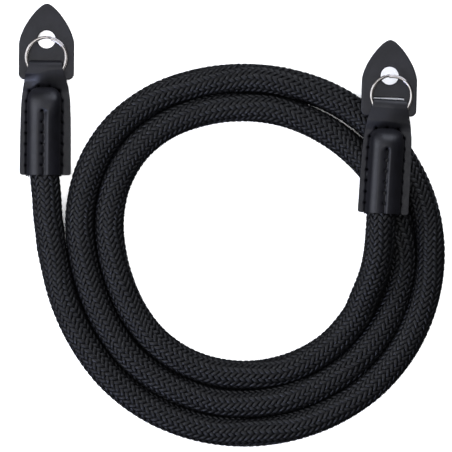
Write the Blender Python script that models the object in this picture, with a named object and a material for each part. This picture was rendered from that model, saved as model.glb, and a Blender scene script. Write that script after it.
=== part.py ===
# Camera strap of braided nylon rope, coiled flat, with a leather sleeve, split ring and guard at each end.
import math

import bmesh
import bpy
from mathutils import Vector

# Driving sizes, in metres and degrees.
CLEARANCE = 0.0003

ROPE_DIAMETER = 0.0100
ROPE_SIDES_LEVEL = 4

COIL_RADIUS = 0.0672
RAY_STEP = 15
FIRST_RAY = 180
LAST_RAY = 1050
RISE_FROM_RAY = 1035

LEATHER = 0.0010
POCKET_LENGTH = 0.0223
DOME_LENGTH = 0.0087
DOME_CAVITY_LENGTH = 0.0050
SEAM_LENGTH = 0.0021
FLANGE_WIDTH = 0.0028
LOOP_WIDTH = 0.0130
GROOVE_WIDTH = 0.0016
GROOVE_DEPTH = 0.0004
GROOVE_OFFSET = -0.0006

GUARD_WIDTH = 0.0197
GUARD_THICKNESS = 0.0012
GUARD_TIP_LENGTH = 0.0149
GUARD_TIP_TO_SLIT = 0.0206
GUARD_STRIP = 0.0049
GUARD_CORNER = 0.0021
GUARD_HOLE = 0.0064
GUARD_TIP_TO_HOLE = 0.0128
SLIT_CLEARANCE = 0.0005
STRIP_PLAY = 0.0007

RING_DIAMETER = 0.0152
WIRE_WIDTH = 0.0013
WIRE_THICKNESS = 0.0006
COIL_SPACE = 0.0001
RING_PLAY = 0.0011

# Where the two end fittings lie, from the middle of the coil. The right one lies on top of the rope.
LEFT_MOUTH = (-1.036, 0.407)
LEFT_LEAN = -0.5
LEFT_GUARD_TURN = 0.0
LEFT_GUARD_SLIDE = -0.0002
RIGHT_MOUTH = (0.749, 0.203)
RIGHT_LEAN = -3.6
RIGHT_GUARD_TURN = 3.0
RIGHT_GUARD_SLIDE = 0.0001

# The coil's centre line along each ray: the outer turn as a share of the coil's radius, and the space
# to the next turn inwards, twice, as shares of the rope.
COIL_COLUMNS = ("ray", "outer", "first_space", "second_space")
COIL_ROWS = (
    (180, 0.996, 0.070, 0.060),
    (200, 0.964, 0.030, 0.038),
    (220, 0.959, 0.022, 0.036),
    (240, 0.954, 0.020, 0.024),
    (260, 0.950, 0.020, 0.020),
    (280, 0.956, 0.020, 0.020),
    (300, 0.973, 0.020, 0.030),
    (320, 0.990, 0.020, 0.034),
    (340, 0.998, 0.020, 0.024),
    (360, 1.003, 0.020, 0.020),
    (380, 0.990, 0.028, 0.020),
    (400, 0.967, 0.100, 0.020),
    (420, 0.943, 0.100, 0.020),
    (440, 0.928, 0.024, 0.020),
    (460, 0.925, 0.020, 0.020),
    (480, 0.937, 0.032, 0.020),
    (500, 0.934, 0.052, 0.026),
    (520, 0.893, 0.070, 0.040),
)

# The rope's free stretches outside the coil, from the coil's middle, as shares of its radius.
LEAD_IN = ((-1.034, 0.300), (-1.030, 0.190), (-1.015, 0.085))
LEAD_OUT = ((0.657, -0.237), (0.699, -0.121), (0.729, 0.000), (0.744, 0.125))

# The front leaf from the dome to the fold: place along the loop, width between the loop's and the
# flange's, and the heights of its middle and of its edge between the flange's top and the loop's.
LOOP_COLUMNS = ("place", "width", "crown", "edge")
LOOP_ROWS = (
    (0.00, 0.65, 0.12, 0.00),
    (0.13, 0.56, 0.32, 0.24),
    (0.24, 0.46, 0.82, 0.76),
    (0.34, 0.36, 0.97, 0.93),
    (0.54, 0.12, 1.00, 0.96),
    (0.80, 0.00, 1.00, 0.96),
)

# Sizes worked out from the driving ones.
ROPE_RADIUS = ROPE_DIAMETER / 2
POCKET_RADIUS = ROPE_RADIUS + CLEARANCE
BULGE_RADIUS = POCKET_RADIUS + LEATHER
POCKET_AXIS = LEATHER + POCKET_RADIUS
FLANGE_HEIGHT = 2 * LEATHER
SLEEVE_WIDTH = 2 * (BULGE_RADIUS + FLANGE_WIDTH)
DOME_END = POCKET_LENGTH + DOME_LENGTH
TUNNEL_START = DOME_END + SEAM_LENGTH
FOLD_INNER = TUNNEL_START + STRIP_PLAY + GUARD_STRIP + SLIT_CLEARANCE
FOLD_OUTER = FOLD_INNER + LEATHER
SLIT_HEIGHT = LEATHER + 2 * SLIT_CLEARANCE
SLIT_WIDTH = LOOP_WIDTH + 2 * CLEARANCE
GUARD_LENGTH = GUARD_TIP_TO_SLIT + SLIT_HEIGHT + GUARD_STRIP
GUARD_BASE = LEATHER + CLEARANCE
RING_HEIGHT = 2 * WIRE_THICKNESS + COIL_SPACE
RING_BASE = GUARD_BASE + GUARD_THICKNESS + CLEARANCE
RING_PLACE = TUNNEL_START + RING_PLAY + RING_DIAMETER / 2
ROOF = RING_BASE + RING_HEIGHT + CLEARANCE
LOOP_TOP = ROOF + LEATHER


def clear_scene():
    for item in list(bpy.data.objects):
        bpy.data.objects.remove(item, do_unlink=True)


def material(name, colour, roughness, metallic=0.0):
    made = bpy.data.materials.new(name)
    made.use_nodes = True
    shader = made.node_tree.nodes["Principled BSDF"]
    shader.inputs["Base Color"].default_value = (*colour, 1.0)
    shader.inputs["Roughness"].default_value = roughness
    shader.inputs["Metallic"].default_value = metallic
    made.diffuse_color = (*colour, 1.0)
    return made


def add_object(name, data, parent, look=None):
    made = bpy.data.objects.new(name, data)
    bpy.context.scene.collection.objects.link(made)
    made.parent = parent
    if look:
        made.data.materials.append(look)
    return made


def mesh_from(name, shape, smooth_below=40):
    bmesh.ops.recalc_face_normals(shape, faces=shape.faces)
    mesh = bpy.data.meshes.new(name)
    shape.to_mesh(mesh)
    shape.free()
    mesh.shade_smooth()
    mesh.set_sharp_from_angle(angle=math.radians(smooth_below))
    return mesh


def loft(name, sections, smooth_below=40):
    """A closed skin through equal rings of points, with a flat face at each end."""
    shape = bmesh.new()
    rings = [[shape.verts.new(point) for point in section] for section in sections]
    count = len(rings[0])
    for ring, following in zip(rings, rings[1:]):
        for i in range(count):
            j = (i + 1) % count
            shape.faces.new((ring[i], ring[j], following[j], following[i]))
    shape.faces.new(rings[0])
    shape.faces.new(rings[-1])
    return mesh_from(name, shape, smooth_below)


def slab(name, outline, low, high):
    """A flat plate with this outline, given as points on the plane, from one height to another."""
    return loft(name, [[Vector((x, y, z)) for x, y in outline] for z in (low, high)])


def cutter(name, mesh, owner, parent):
    made = add_object(name, mesh, parent)
    made.hide_render = True
    made.display_type = "WIRE"
    cut = owner.modifiers.new(name, "BOOLEAN")
    cut.operation = "DIFFERENCE"
    cut.solver = "EXACT"
    cut.object = made
    return made


def arc(centre, radius, start, end, steps):
    """Points on a circle's arc, with both ends."""
    angles = [math.radians(start + (end - start) * i / steps) for i in range(steps + 1)]
    return [(centre[0] + radius * math.cos(a), centre[1] + radius * math.sin(a)) for a in angles]


def smooth_between(before, start, end, after, share):
    """The cubic through start and end that leans on the values before and after them."""
    lean_out = (end - before) / 2
    lean_in = (after - start) / 2
    s = share
    return (
        start * (2 * s**3 - 3 * s**2 + 1)
        + lean_out * (s**3 - 2 * s**2 + s)
        + end * (3 * s**2 - 2 * s**3)
        + lean_in * (s**3 - s**2)
    )


def ease(share):
    """Zero to one, level at both ends."""
    s = min(max(share, 0.0), 1.0)
    return s * s * (3 - 2 * s)


# The rope.


def turn_radius(number):
    """The centre line's distance from the coil's middle at a row, counted on through the turns."""
    turn, index = divmod(number, len(COIL_ROWS))
    row = dict(zip(COIL_COLUMNS, COIL_ROWS[index]))
    radius = row["outer"] * COIL_RADIUS
    for space in ("first_space", "second_space")[:turn]:
        radius -= ROPE_DIAMETER * (1 + row[space])
    return radius


def coil_radius(ray):
    """The centre line's distance from the coil's middle at any angle along the coil."""
    row_step = COIL_ROWS[1][0] - COIL_ROWS[0][0]
    place = (ray - FIRST_RAY) / row_step
    number = int(place)
    last = len(COIL_ROWS) * 3 - 1
    around = [turn_radius(min(max(number + i, 0), last)) for i in (-1, 0, 1, 2)]
    return smooth_between(*around, place - number)


def along_sleeve(mouth, lean, distance, height):
    """The point this far into a sleeve from its mouth, on the rope's axis."""
    a = math.radians(lean)
    place = Vector((mouth[0] * COIL_RADIUS, mouth[1] * COIL_RADIUS, height))
    return place + distance * Vector((-math.sin(a), math.cos(a), 0.0))


def rope_route():
    """The points that the rope's centre line runs through, from its left end to its right end."""
    left_height = POCKET_AXIS
    right_height = ROPE_DIAMETER + CLEARANCE + POCKET_AXIS
    left = [along_sleeve(LEFT_MOUTH, LEFT_LEAN, d, left_height) for d in (POCKET_LENGTH, 0.0)]
    right = [along_sleeve(RIGHT_MOUTH, RIGHT_LEAN, d, right_height) for d in (0.0, POCKET_LENGTH)]
    sink = left_height - ROPE_RADIUS
    route = left
    for number, (x, y) in enumerate(LEAD_IN, 1):
        height = left_height - sink * ease(number / (len(LEAD_IN) + 1))
        route.append(Vector((x * COIL_RADIUS, y * COIL_RADIUS, height)))
    for ray in range(FIRST_RAY, LAST_RAY + 1, RAY_STEP):
        a = math.radians(ray)
        radius = coil_radius(ray)
        route.append(Vector((radius * math.cos(a), radius * math.sin(a), ROPE_RADIUS)))
    route += [Vector((x * COIL_RADIUS, y * COIL_RADIUS, ROPE_RADIUS)) for x, y in LEAD_OUT]
    raise_stretch(route, right[0], LAST_RAY - RISE_FROM_RAY)
    return route + right


def raise_stretch(route, mouth, back_degrees):
    """Lifts the rope's last stretch smoothly from the surface up to the right sleeve's mouth."""
    start = len(route) - len(LEAD_OUT) - 1 - back_degrees // RAY_STEP
    stretch = route[start:] + [mouth]
    steps = [(b.xy - a.xy).length for a, b in zip(stretch, stretch[1:])]
    whole = sum(steps)
    for number, point in enumerate(stretch[:-1]):
        done = sum(steps[:number]) / whole
        point.z = ROPE_RADIUS + (mouth.z - ROPE_RADIUS) * ease(done)


def rope(parent, look):
    data = bpy.data.curves.new("rope", "CURVE")
    data.dimensions = "3D"
    data.twist_mode = "Z_UP"
    data.bevel_depth = ROPE_RADIUS
    data.bevel_resolution = ROPE_SIDES_LEVEL
    data.use_fill_caps = True
    points = rope_route()
    spline = data.splines.new("POLY")
    spline.points.add(len(points) - 1)
    for target, point in zip(spline.points, points):
        target.co = (*point, 1.0)
    spline.use_smooth = True
    return add_object("rope", data, parent, look)


# The leather sleeve: one strip folded over the ring, its two leaves sewn round the rope's end.


def sleeve_section(place, half_width, edge, crown, half_bulge, groove, lift=0.0):
    """One ring of the sleeve's skin: a flat base, a flange on each side and the bulge over the rope."""
    corner = 0.3 * LEATHER
    spring = edge + 0.42 * (crown - edge)
    right = [
        (half_width, lift),
        (half_width, edge - corner),
        (half_width - corner, edge),
        (min(half_bulge + 0.5 * LEATHER, half_width - 1.5 * corner), edge),
    ]
    arch = []
    for angle in (0, 18, 36, 52, 66):
        a = math.radians(angle)
        arch.append((half_bulge * math.cos(a), spring + (crown - spring) * math.sin(a)))
    middle = min(GROOVE_OFFSET, 0.0) * groove
    rim = crown - 0.06 * (crown - spring)
    top = [
        (middle + GROOVE_WIDTH, rim),
        (middle + GROOVE_WIDTH / 2, crown),
        (middle, crown - GROOVE_DEPTH * groove),
        (middle - GROOVE_WIDTH / 2, crown),
        (middle - GROOVE_WIDTH, rim),
    ]
    half_top = GROOVE_WIDTH / BULGE_RADIUS
    squeeze = min(1.0, half_bulge * 0.32 / (half_top * BULGE_RADIUS))
    top = [(x * squeeze, z) for x, z in top]
    left = [(-x, z) for x, z in reversed(right + arch)]
    return [Vector((x, place, z)) for x, z in right + arch + top + left]


def sleeve_sections():
    full = POCKET_AXIS + BULGE_RADIUS
    half_mouth = SLEEVE_WIDTH / 2
    half_loop = LOOP_WIDTH / 2
    spread = half_mouth - half_loop
    corner = 0.3 * LEATHER
    pocket_narrowing = 0.12
    sections = [
        sleeve_section(0.0, half_mouth - corner, FLANGE_HEIGHT, full, BULGE_RADIUS, 1.0),
        sleeve_section(corner, half_mouth, FLANGE_HEIGHT, full, BULGE_RADIUS, 1.0),
    ]
    for share in (0.25, 0.5, 0.75, 1.0):
        width = half_loop + spread * (1 - pocket_narrowing * share)
        place = POCKET_LENGTH * share
        sections.append(sleeve_section(place, width, FLANGE_HEIGHT, full, BULGE_RADIUS, 1.0))
    loop = [dict(zip(LOOP_COLUMNS, row)) for row in LOOP_ROWS]
    rise = LOOP_TOP - FLANGE_HEIGHT
    seam = FLANGE_HEIGHT + rise * loop[0]["crown"]
    dome_angles = (18, 34, 48, 60, 71, 81)
    for angle in dome_angles:
        a = math.radians(angle)
        share = math.sin(a)
        narrowing = pocket_narrowing + (1 - pocket_narrowing - loop[0]["width"]) * share
        sections.append(
            sleeve_section(
                POCKET_LENGTH + DOME_LENGTH * share,
                half_loop + spread * (1 - narrowing),
                FLANGE_HEIGHT,
                seam + (full - seam) * math.cos(a),
                BULGE_RADIUS * math.cos(a) ** 0.8,
                math.cos(a) * 0.5,
            )
        )
    for row in loop:
        width = half_loop + spread * row["width"]
        sections.append(
            sleeve_section(
                DOME_END + (FOLD_OUTER - DOME_END) * row["place"],
                width,
                FLANGE_HEIGHT + rise * row["edge"],
                FLANGE_HEIGHT + rise * row["crown"],
                width * (0.35 + 0.5 * row["crown"]),
                0.0,
            )
        )
    for share in (0.0, 0.5, 0.87, 1.0):
        drop = LEATHER * (1 - math.sqrt(1 - share * share)) * 0.9
        crown = LOOP_TOP - drop
        edge = crown - 0.04 * rise
        place = FOLD_INNER + LEATHER * share
        sections.append(sleeve_section(place, half_loop, edge, crown, half_loop * 0.85, 0.0, drop))
    return sections


def pocket_mesh():
    """The space that the rope's end fills, open at the mouth and rounded inside the dome."""
    sides = 24
    stations = [(-LEATHER, POCKET_RADIUS), (POCKET_LENGTH, POCKET_RADIUS)]
    for angle in (25, 50, 75):
        a = math.radians(angle)
        place = POCKET_LENGTH + DOME_CAVITY_LENGTH * math.sin(a)
        stations.append((place, POCKET_RADIUS * math.cos(a)))
    sections = []
    for place, radius in stations:
        circle = arc((0.0, POCKET_AXIS), radius, 0, 360 * (1 - 1 / sides), sides - 1)
        sections.append([Vector((x, place, z)) for x, z in circle])
    return loft("pocket_cutter", sections)


def tunnel_mesh():
    """The space between the leaves for the ring and the guard's strip, open at both sides."""
    half = SLEEVE_WIDTH
    slope_end = TUNNEL_START + RING_PLAY - CLEARANCE
    profile = (
        (TUNNEL_START, LEATHER),
        (FOLD_INNER, LEATHER),
        (FOLD_INNER, ROOF),
        (slope_end, ROOF),
        (TUNNEL_START, RING_BASE),
    )
    return loft("tunnel_cutter", [[Vector((x, y, z)) for y, z in profile] for x in (-half, half)])


def ring_room_mesh():
    """The room that the ring's wire needs at the sides of the fold."""
    outer = RING_DIAMETER / 2 + CLEARANCE
    inner = RING_DIAMETER / 2 - WIRE_WIDTH - CLEARANCE
    low = RING_BASE - CLEARANCE
    sides = 40
    sections = []
    for number in range(sides):
        a = math.tau * number / sides
        out = Vector((math.cos(a), math.sin(a), 0.0))
        centre = Vector((0.0, RING_PLACE, 0.0))
        sections.append(
            [
                centre + out * radius + Vector((0.0, 0.0, z))
                for radius, z in ((inner, low), (outer, low), (outer, ROOF), (inner, ROOF))
            ]
        )
    return closed_loft("ring_room_cutter", sections)


def closed_loft(name, sections):
    """A skin through rings of points that comes round to its first ring."""
    shape = bmesh.new()
    rings = [[shape.verts.new(point) for point in section] for section in sections]
    count = len(rings[0])
    for ring, following in zip(rings, rings[1:] + rings[:1]):
        for i in range(count):
            j = (i + 1) % count
            shape.faces.new((ring[i], ring[j], following[j], following[i]))
    return mesh_from(name, shape)


def sleeve(side, parent, look, meshes):
    made = add_object(side + "_sleeve", meshes["sleeve"], parent)
    if not made.data.materials:
        made.data.materials.append(look)
    cutter(side + "_pocket_cutter", meshes["pocket"], made, parent)
    cutter(side + "_tunnel_cutter", meshes["tunnel"], made, parent)
    cutter(side + "_ring_room_cutter", meshes["ring_room"], made, parent)
    return made


# The split ring: flat wire wound twice, stepping up once from the lower coil to the upper.


def ring_mesh():
    step_half = 9
    turn = 360
    middle = RING_DIAMETER / 2 - WIRE_WIDTH / 2
    rise = WIRE_THICKNESS + COIL_SPACE
    angles = [step_half + i * 12 for i in range(29)]
    angles += [turn - step_half, turn - 3, turn + 3, turn + step_half]
    angles += [turn + step_half + 12 * i for i in range(1, 29)] + [2 * turn - step_half]
    half_wide = WIRE_WIDTH / 2
    half_thick = WIRE_THICKNESS / 2
    rounded = 0.45 * half_thick
    profile = (
        (half_wide, -half_thick + rounded),
        (half_wide, half_thick - rounded),
        (half_wide - rounded, half_thick),
        (-half_wide + rounded, half_thick),
        (-half_wide, half_thick - rounded),
        (-half_wide, -half_thick + rounded),
        (-half_wide + rounded, -half_thick),
        (half_wide - rounded, -half_thick),
    )
    sections = []
    for angle in sorted(set(angles)):
        level = half_thick + rise * ease((angle - turn + step_half) / (2 * step_half))
        a = math.radians(angle + 90)
        out = Vector((math.cos(a), math.sin(a), 0.0))
        sections.append([out * (middle + u) + Vector((0.0, 0.0, level + v)) for u, v in profile])
    return loft("split_ring", sections)


# The leather guard behind the ring: a tab with a pointed tip, a round hole and a slit for the loop.


def guard_mesh():
    """The tab, drawn with the middle of its slit at its origin."""
    half = GUARD_WIDTH / 2
    tip = GUARD_TIP_TO_SLIT + SLIT_HEIGHT / 2
    shoulder = tip - GUARD_TIP_LENGTH
    bottom = tip - GUARD_LENGTH
    tip_handle = 0.29 * half
    shoulder_handle = 0.38 * GUARD_TIP_LENGTH
    right = arc((half - GUARD_CORNER, bottom + GUARD_CORNER), GUARD_CORNER, -90, 0, 5)
    steps = 12
    for number in range(steps):
        t = number / steps
        s = 1 - t
        x = half * (s**3 + 3 * s * s * t) + tip_handle * 3 * s * t * t
        y = shoulder * s**3 + (shoulder + shoulder_handle) * 3 * s * s * t
        y += tip * (3 * s * t * t + t**3)
        right.append((x, y))
    left = [(-x, y) for x, y in reversed(right)]
    return slab("guard", right + [(0.0, tip)] + left, 0.0, GUARD_THICKNESS)


def guard_hole_mesh():
    tip = GUARD_TIP_TO_SLIT + SLIT_HEIGHT / 2
    sides = 24
    circle = arc((0.0, tip - GUARD_TIP_TO_HOLE), GUARD_HOLE / 2, 0, 360 * (1 - 1 / sides), sides - 1)
    return slab("guard_hole_cutter", circle, -LEATHER, GUARD_THICKNESS + LEATHER)


def guard_slit_mesh():
    half = SLIT_WIDTH / 2
    tall = SLIT_HEIGHT / 2
    corner = 0.4 * tall
    outline = arc((half - corner, tall - corner), corner, 0, 90, 3)
    outline += arc((corner - half, tall - corner), corner, 90, 180, 3)
    outline += arc((corner - half, corner - tall), corner, 180, 270, 3)
    outline += arc((half - corner, corner - tall), corner, 270, 360, 3)
    return slab("guard_slit_cutter", outline, -LEATHER, GUARD_THICKNESS + LEATHER)


def guard(side, parent, look, meshes, turn, slide):
    made = add_object(side + "_guard", meshes["guard"], parent)
    if not made.data.materials:
        made.data.materials.append(look)
    made.location = (0.0, (FOLD_INNER + FOLD_OUTER) / 2 + slide, GUARD_BASE)
    made.rotation_euler.z = math.radians(turn)
    for name in ("guard_hole", "guard_slit"):
        cut = cutter(f"{side}_{name}_cutter", meshes[name], made, parent)
        cut.location = made.location
        cut.rotation_euler = made.rotation_euler
    return made


def split_ring(side, parent, look, meshes):
    made = add_object(side + "_ring", meshes["ring"], parent)
    if not made.data.materials:
        made.data.materials.append(look)
    made.location = (0.0, RING_PLACE, RING_BASE)
    return made


def empty(name, parent, location=(0.0, 0.0, 0.0), lean=0.0):
    made = add_object(name, None, parent)
    made.location = location
    made.rotation_euler.z = math.radians(lean)
    return made


def middle_below(items):
    """The middle of the box round these objects, at the height of the surface."""
    bpy.context.view_layer.update()
    points = [item.matrix_world @ v.co for item in items for v in item.data.vertices]
    lows = [min(p[i] for p in points) for i in (0, 1)]
    highs = [max(p[i] for p in points) for i in (0, 1)]
    return Vector(((lows[0] + highs[0]) / 2, (lows[1] + highs[1]) / 2, 0.0))


def build():
    clear_scene()
    nylon = material("black_nylon_braid", (0.022, 0.022, 0.026), 0.6)
    leather = material("black_leather", (0.020, 0.020, 0.024), 0.45)
    steel = material("nickel_plated_steel", (0.72, 0.71, 0.69), 0.18, 1.0)
    meshes = {
        "sleeve": loft("sleeve", sleeve_sections()),
        "pocket": pocket_mesh(),
        "tunnel": tunnel_mesh(),
        "ring_room": ring_room_mesh(),
        "ring": ring_mesh(),
        "guard": guard_mesh(),
        "guard_hole": guard_hole_mesh(),
        "guard_slit": guard_slit_mesh(),
    }
    strap = empty("strap", None)
    rope(strap, nylon)
    ends = (
        ("left", LEFT_MOUTH, LEFT_LEAN, LEFT_GUARD_TURN, LEFT_GUARD_SLIDE, 0.0),
        ("right", RIGHT_MOUTH, RIGHT_LEAN, RIGHT_GUARD_TURN, RIGHT_GUARD_SLIDE, ROPE_DIAMETER + CLEARANCE),
    )
    pieces = []
    for side, mouth, lean, turn, slide, height in ends:
        place = along_sleeve(mouth, lean, 0.0, height)
        holder = empty(side + "_end", strap, place, lean)
        pieces.append(sleeve(side, holder, leather, meshes))
        pieces.append(guard(side, holder, leather, meshes, turn, slide))
        pieces.append(split_ring(side, holder, steel, meshes))
    strap.location = -middle_below(pieces)


build()
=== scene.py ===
# A camera strap of thick braided black nylon rope, coiled flat on a white table and seen from straight
# above. At each end a stitched leather sleeve holds a split ring with a pointed guard behind it.
import math

import bmesh
import bpy
import numpy as np
from mathutils import Matrix, Vector, noise


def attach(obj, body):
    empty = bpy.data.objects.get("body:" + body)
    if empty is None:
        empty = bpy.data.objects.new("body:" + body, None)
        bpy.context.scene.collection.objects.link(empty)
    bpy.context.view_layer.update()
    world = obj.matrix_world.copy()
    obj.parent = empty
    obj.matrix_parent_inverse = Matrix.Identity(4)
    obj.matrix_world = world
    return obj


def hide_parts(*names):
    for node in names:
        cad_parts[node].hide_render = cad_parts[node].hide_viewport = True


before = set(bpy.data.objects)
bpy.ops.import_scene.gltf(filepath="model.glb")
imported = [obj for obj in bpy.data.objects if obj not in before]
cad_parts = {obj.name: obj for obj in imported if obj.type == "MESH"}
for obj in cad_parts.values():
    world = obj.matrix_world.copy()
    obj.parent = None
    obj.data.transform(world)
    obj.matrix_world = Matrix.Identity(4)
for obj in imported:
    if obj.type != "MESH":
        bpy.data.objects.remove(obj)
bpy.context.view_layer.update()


# The table and the light. The strap was photographed on a sheet of white acrylic that has a light of
# its own, so it burns out to white right up to the strap. The light tent is brightest above and left.
TABLE_SIZE = 6.0
STRAP_MIDDLE = (0.0, -0.04, 0.0)
# The tent's least and greatest light, how near its bright side each is reached, and its stretch.
TENT_LIGHT = (0.03, 0.57)
TENT_FADE = (0.08, 0.98)
TENT_BRIGHT_SIDE = (-0.45, 0.06, 0.89)
TENT_STRETCH = (1.0, 0.45, 1.0)


def linear(code):
    """A colour given as sRGB hex, as the shader's linear red, green, blue and alpha."""
    parts = [int(code[i : i + 2], 16) / 255 for i in (1, 3, 5)]
    return (*[p / 12.92 if p <= 0.04045 else ((p + 0.055) / 1.055) ** 2.4 for p in parts], 1.0)


def add_node(tree, kind, feeds=None, **settings):
    """Adds a node. Each input is fed a plain value, a socket, or another node, by its first output."""
    node = tree.nodes.new(kind)
    for name, value in settings.items():
        setattr(node, name, value)
    for key, value in (feeds or {}).items():
        if isinstance(value, bpy.types.Node):
            value = value.outputs[0]
        if isinstance(value, bpy.types.NodeSocket):
            tree.links.new(value, node.inputs[key])
        else:
            node.inputs[key].default_value = value
    return node


def finish_of(name, **looks):
    """A new material with these values on its shader's own sockets, and its node tree and shader."""
    made = bpy.data.materials.new(name)
    made.use_nodes = True
    shader = made.node_tree.nodes["Principled BSDF"]
    for socket, value in looks.items():
        shader.inputs[socket.replace("_", " ")].default_value = value
    return made, made.node_tree, shader


def placed(name, mesh, *finishes):
    """An object of this mesh at the origin, with these materials."""
    made = bpy.data.objects.new(name, mesh)
    bpy.context.scene.collection.objects.link(made)
    for finish in finishes:
        mesh.materials.append(finish)
    return made


# White acrylic sheet with a satin face: bright, even, with next to no reflection.
white_sheet, tree, shader = finish_of("white_acrylic_sheet", Roughness=0.7, Specular_IOR_Level=0.2)
place = add_node(tree, "ShaderNodeTexCoord").outputs["Object"]
cloud = add_node(tree, "ShaderNodeTexNoise", {"Vector": place, "Scale": 3.0, "Detail": 1.0})
whites = {"Factor": cloud, 6: linear("#fbfbfb"), 7: linear("#fefefe")}
tint = add_node(tree, "ShaderNodeMix", whites, data_type="RGBA")
tree.links.new(tint.outputs[2], shader.inputs["Base Color"])

half = TABLE_SIZE / 2
corners = [(-half, -half, 0.0), (half, -half, 0.0), (half, half, 0.0), (-half, half, 0.0)]
mesh = bpy.data.meshes.new("table")
mesh.from_pydata(corners, [], [(0, 1, 2, 3)])
table = placed("table", mesh, white_sheet)
table.visible_diffuse = False
table.visible_glossy = False

world = bpy.data.worlds.new("light_tent")
bpy.context.scene.world = world
world.use_nodes = True
direction = add_node(world.node_tree, "ShaderNodeTexCoord").outputs["Generated"]
# The bright part is drawn out along Y, so the light falls off slowly that way and fast to the sides.
drawn_out = add_node(
    world.node_tree, "ShaderNodeVectorMath", {0: direction, 1: TENT_STRETCH}, operation="MULTIPLY"
)
unit = add_node(world.node_tree, "ShaderNodeVectorMath", {0: drawn_out}, operation="NORMALIZE")
towards = add_node(
    world.node_tree, "ShaderNodeVectorMath", {0: unit, 1: TENT_BRIGHT_SIDE}, operation="DOT_PRODUCT"
)
strength = add_node(
    world.node_tree,
    "ShaderNodeMapRange",
    {
        "Value": towards.outputs["Value"],
        "From Min": TENT_FADE[0],
        "From Max": TENT_FADE[1],
        "To Min": TENT_LIGHT[0],
        "To Max": TENT_LIGHT[1],
    },
    interpolation_type="SMOOTHSTEP",
)
sky = world.node_tree.nodes["Background"]
sky.inputs["Color"].default_value = linear("#f7f8ff")
world.node_tree.links.new(strength.outputs["Result"], sky.inputs["Strength"])
bpy.context.scene.view_settings.view_transform = "Standard"

# Each lamp's name, place, side in metres, power in watts and colour. The last is for the table alone.
LAMPS = (
    ("left_softbox", (-0.85, 0.22, 0.56), 0.8, 4.6, "#eef2ff"),
    ("top_softbox", (0.04, -0.04, 1.30), 0.4, 1.2, "#fbfbff"),
    ("back_softbox", (0.42, 0.96, 0.26), 0.9, 6.2, "#eaefff"),
    ("front_card", (-0.60, -0.72, 0.50), 0.45, 4.4, "#ccd6ff"),
    ("table_light", (0.0, -0.04, 3.2), 3.0, 220.0, "#ffffff"),
)
for name, spot, size, power, colour in LAMPS:
    lamp = bpy.data.lights.new(name, "AREA")
    lamp.size = size
    lamp.energy = power
    lamp.color = linear(colour)[:3]
    holder = bpy.data.objects.new(name, lamp)
    holder.location = spot
    aim = Vector(STRAP_MIDDLE) - Vector(spot)
    holder.rotation_euler = aim.to_track_quat("-Z", "Y").to_euler()
    bpy.context.scene.collection.objects.link(holder)

only_table = bpy.data.collections.new("only_table")
only_table.objects.link(table)
holder.light_linking.receiver_collection = only_table


# The camera looks straight down from far off, so the rope shows almost no side. Its view is measured
# at the height of the rope's middle.
CAMERA_HEIGHT = 2.5
VIEW_MIDDLE = (0.00288, -0.04154)
VIEW_WIDTH = 0.16046
ROPE_RADIUS = 0.0050

lens = bpy.data.cameras.new("camera")
lens.sensor_width = 36.0
lens.lens = lens.sensor_width * (CAMERA_HEIGHT - ROPE_RADIUS) / VIEW_WIDTH
lens.clip_start = 0.1
lens.clip_end = 20.0
camera = bpy.data.objects.new("camera", lens)
camera.location = (*VIEW_MIDDLE, CAMERA_HEIGHT)
bpy.context.scene.collection.objects.link(camera)
bpy.context.scene.camera = camera


# The rope: 10 mm nylon, braided from 32 yarns over a core, 0.97 m long between its ends inside the
# sleeves. It comes down out of the left sleeve, runs two and a half turns inwards and climbs into the
# right one, which lies on the two turns that cross under it.
ROPE_DIAMETER = 2 * ROPE_RADIUS
COIL_RADIUS = 0.0672
COIL_MIDDLE = (0.008203, -0.050769)
# The coil is drawn on rays from its middle, in degrees, over two and a half turns.
RAY_STEP = 15
FIRST_RAY = 180
LAST_RAY = 1050
POCKET_LENGTH = 0.0223
LEFT_MOUTH = (-0.061416, -0.023418, 0.0)
LEFT_LEAN = -0.5
RIGHT_MOUTH = (0.058536, -0.037127, 0.0103)
RIGHT_LEAN = -3.6
POCKET_AXIS = 0.0063
# The turns press into each other by this share of the rope, and its yarns lift it off the table.
PRESSED = 0.015
LIFTED = 0.00012
LINE_STEP = 0.0005

# Each row: ray, the outer turn as a share of the coil's radius, then the spaces to the second and to
# the third turn as shares of the rope.
ROW_STEP = 20
COIL_ROWS = (
    (180, 0.996, 0.070, 0.060),
    (200, 0.959, 0.030, 0.038),
    (220, 0.955, 0.022, 0.036),
    (240, 0.951, 0.020, 0.024),
    (260, 0.949, 0.020, 0.020),
    (280, 0.954, 0.020, 0.020),
    (300, 0.970, 0.020, 0.030),
    (320, 0.990, 0.020, 0.034),
    (340, 0.998, 0.020, 0.024),
    (360, 0.999, 0.020, 0.020),
    (380, 0.988, 0.028, 0.020),
    (400, 0.966, 0.100, 0.020),
    (420, 0.943, 0.100, 0.020),
    (440, 0.921, 0.024, 0.020),
    (460, 0.917, 0.020, 0.020),
    (480, 0.930, 0.032, 0.020),
    (500, 0.927, 0.052, 0.026),
    (520, 0.889, 0.070, 0.040),
)
# The ways from the left mouth to the first ray and from the last ray to the right mouth, as shares of
# the coil's radius from its middle. The rope comes out of the right mouth a little left of its middle.
LEAD_IN = ((-1.027, 0.300), (-1.020, 0.190), (-1.007, 0.085))
LEAD_OUT = ((0.652, -0.237), (0.697, -0.121), (0.722, 0.000), (0.733, 0.125), (0.7395, 0.203))


def ease(share):
    """Zero to one, level at both ends."""
    s = np.clip(share, 0.0, 1.0)
    return s * s * (3 - 2 * s)


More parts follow.
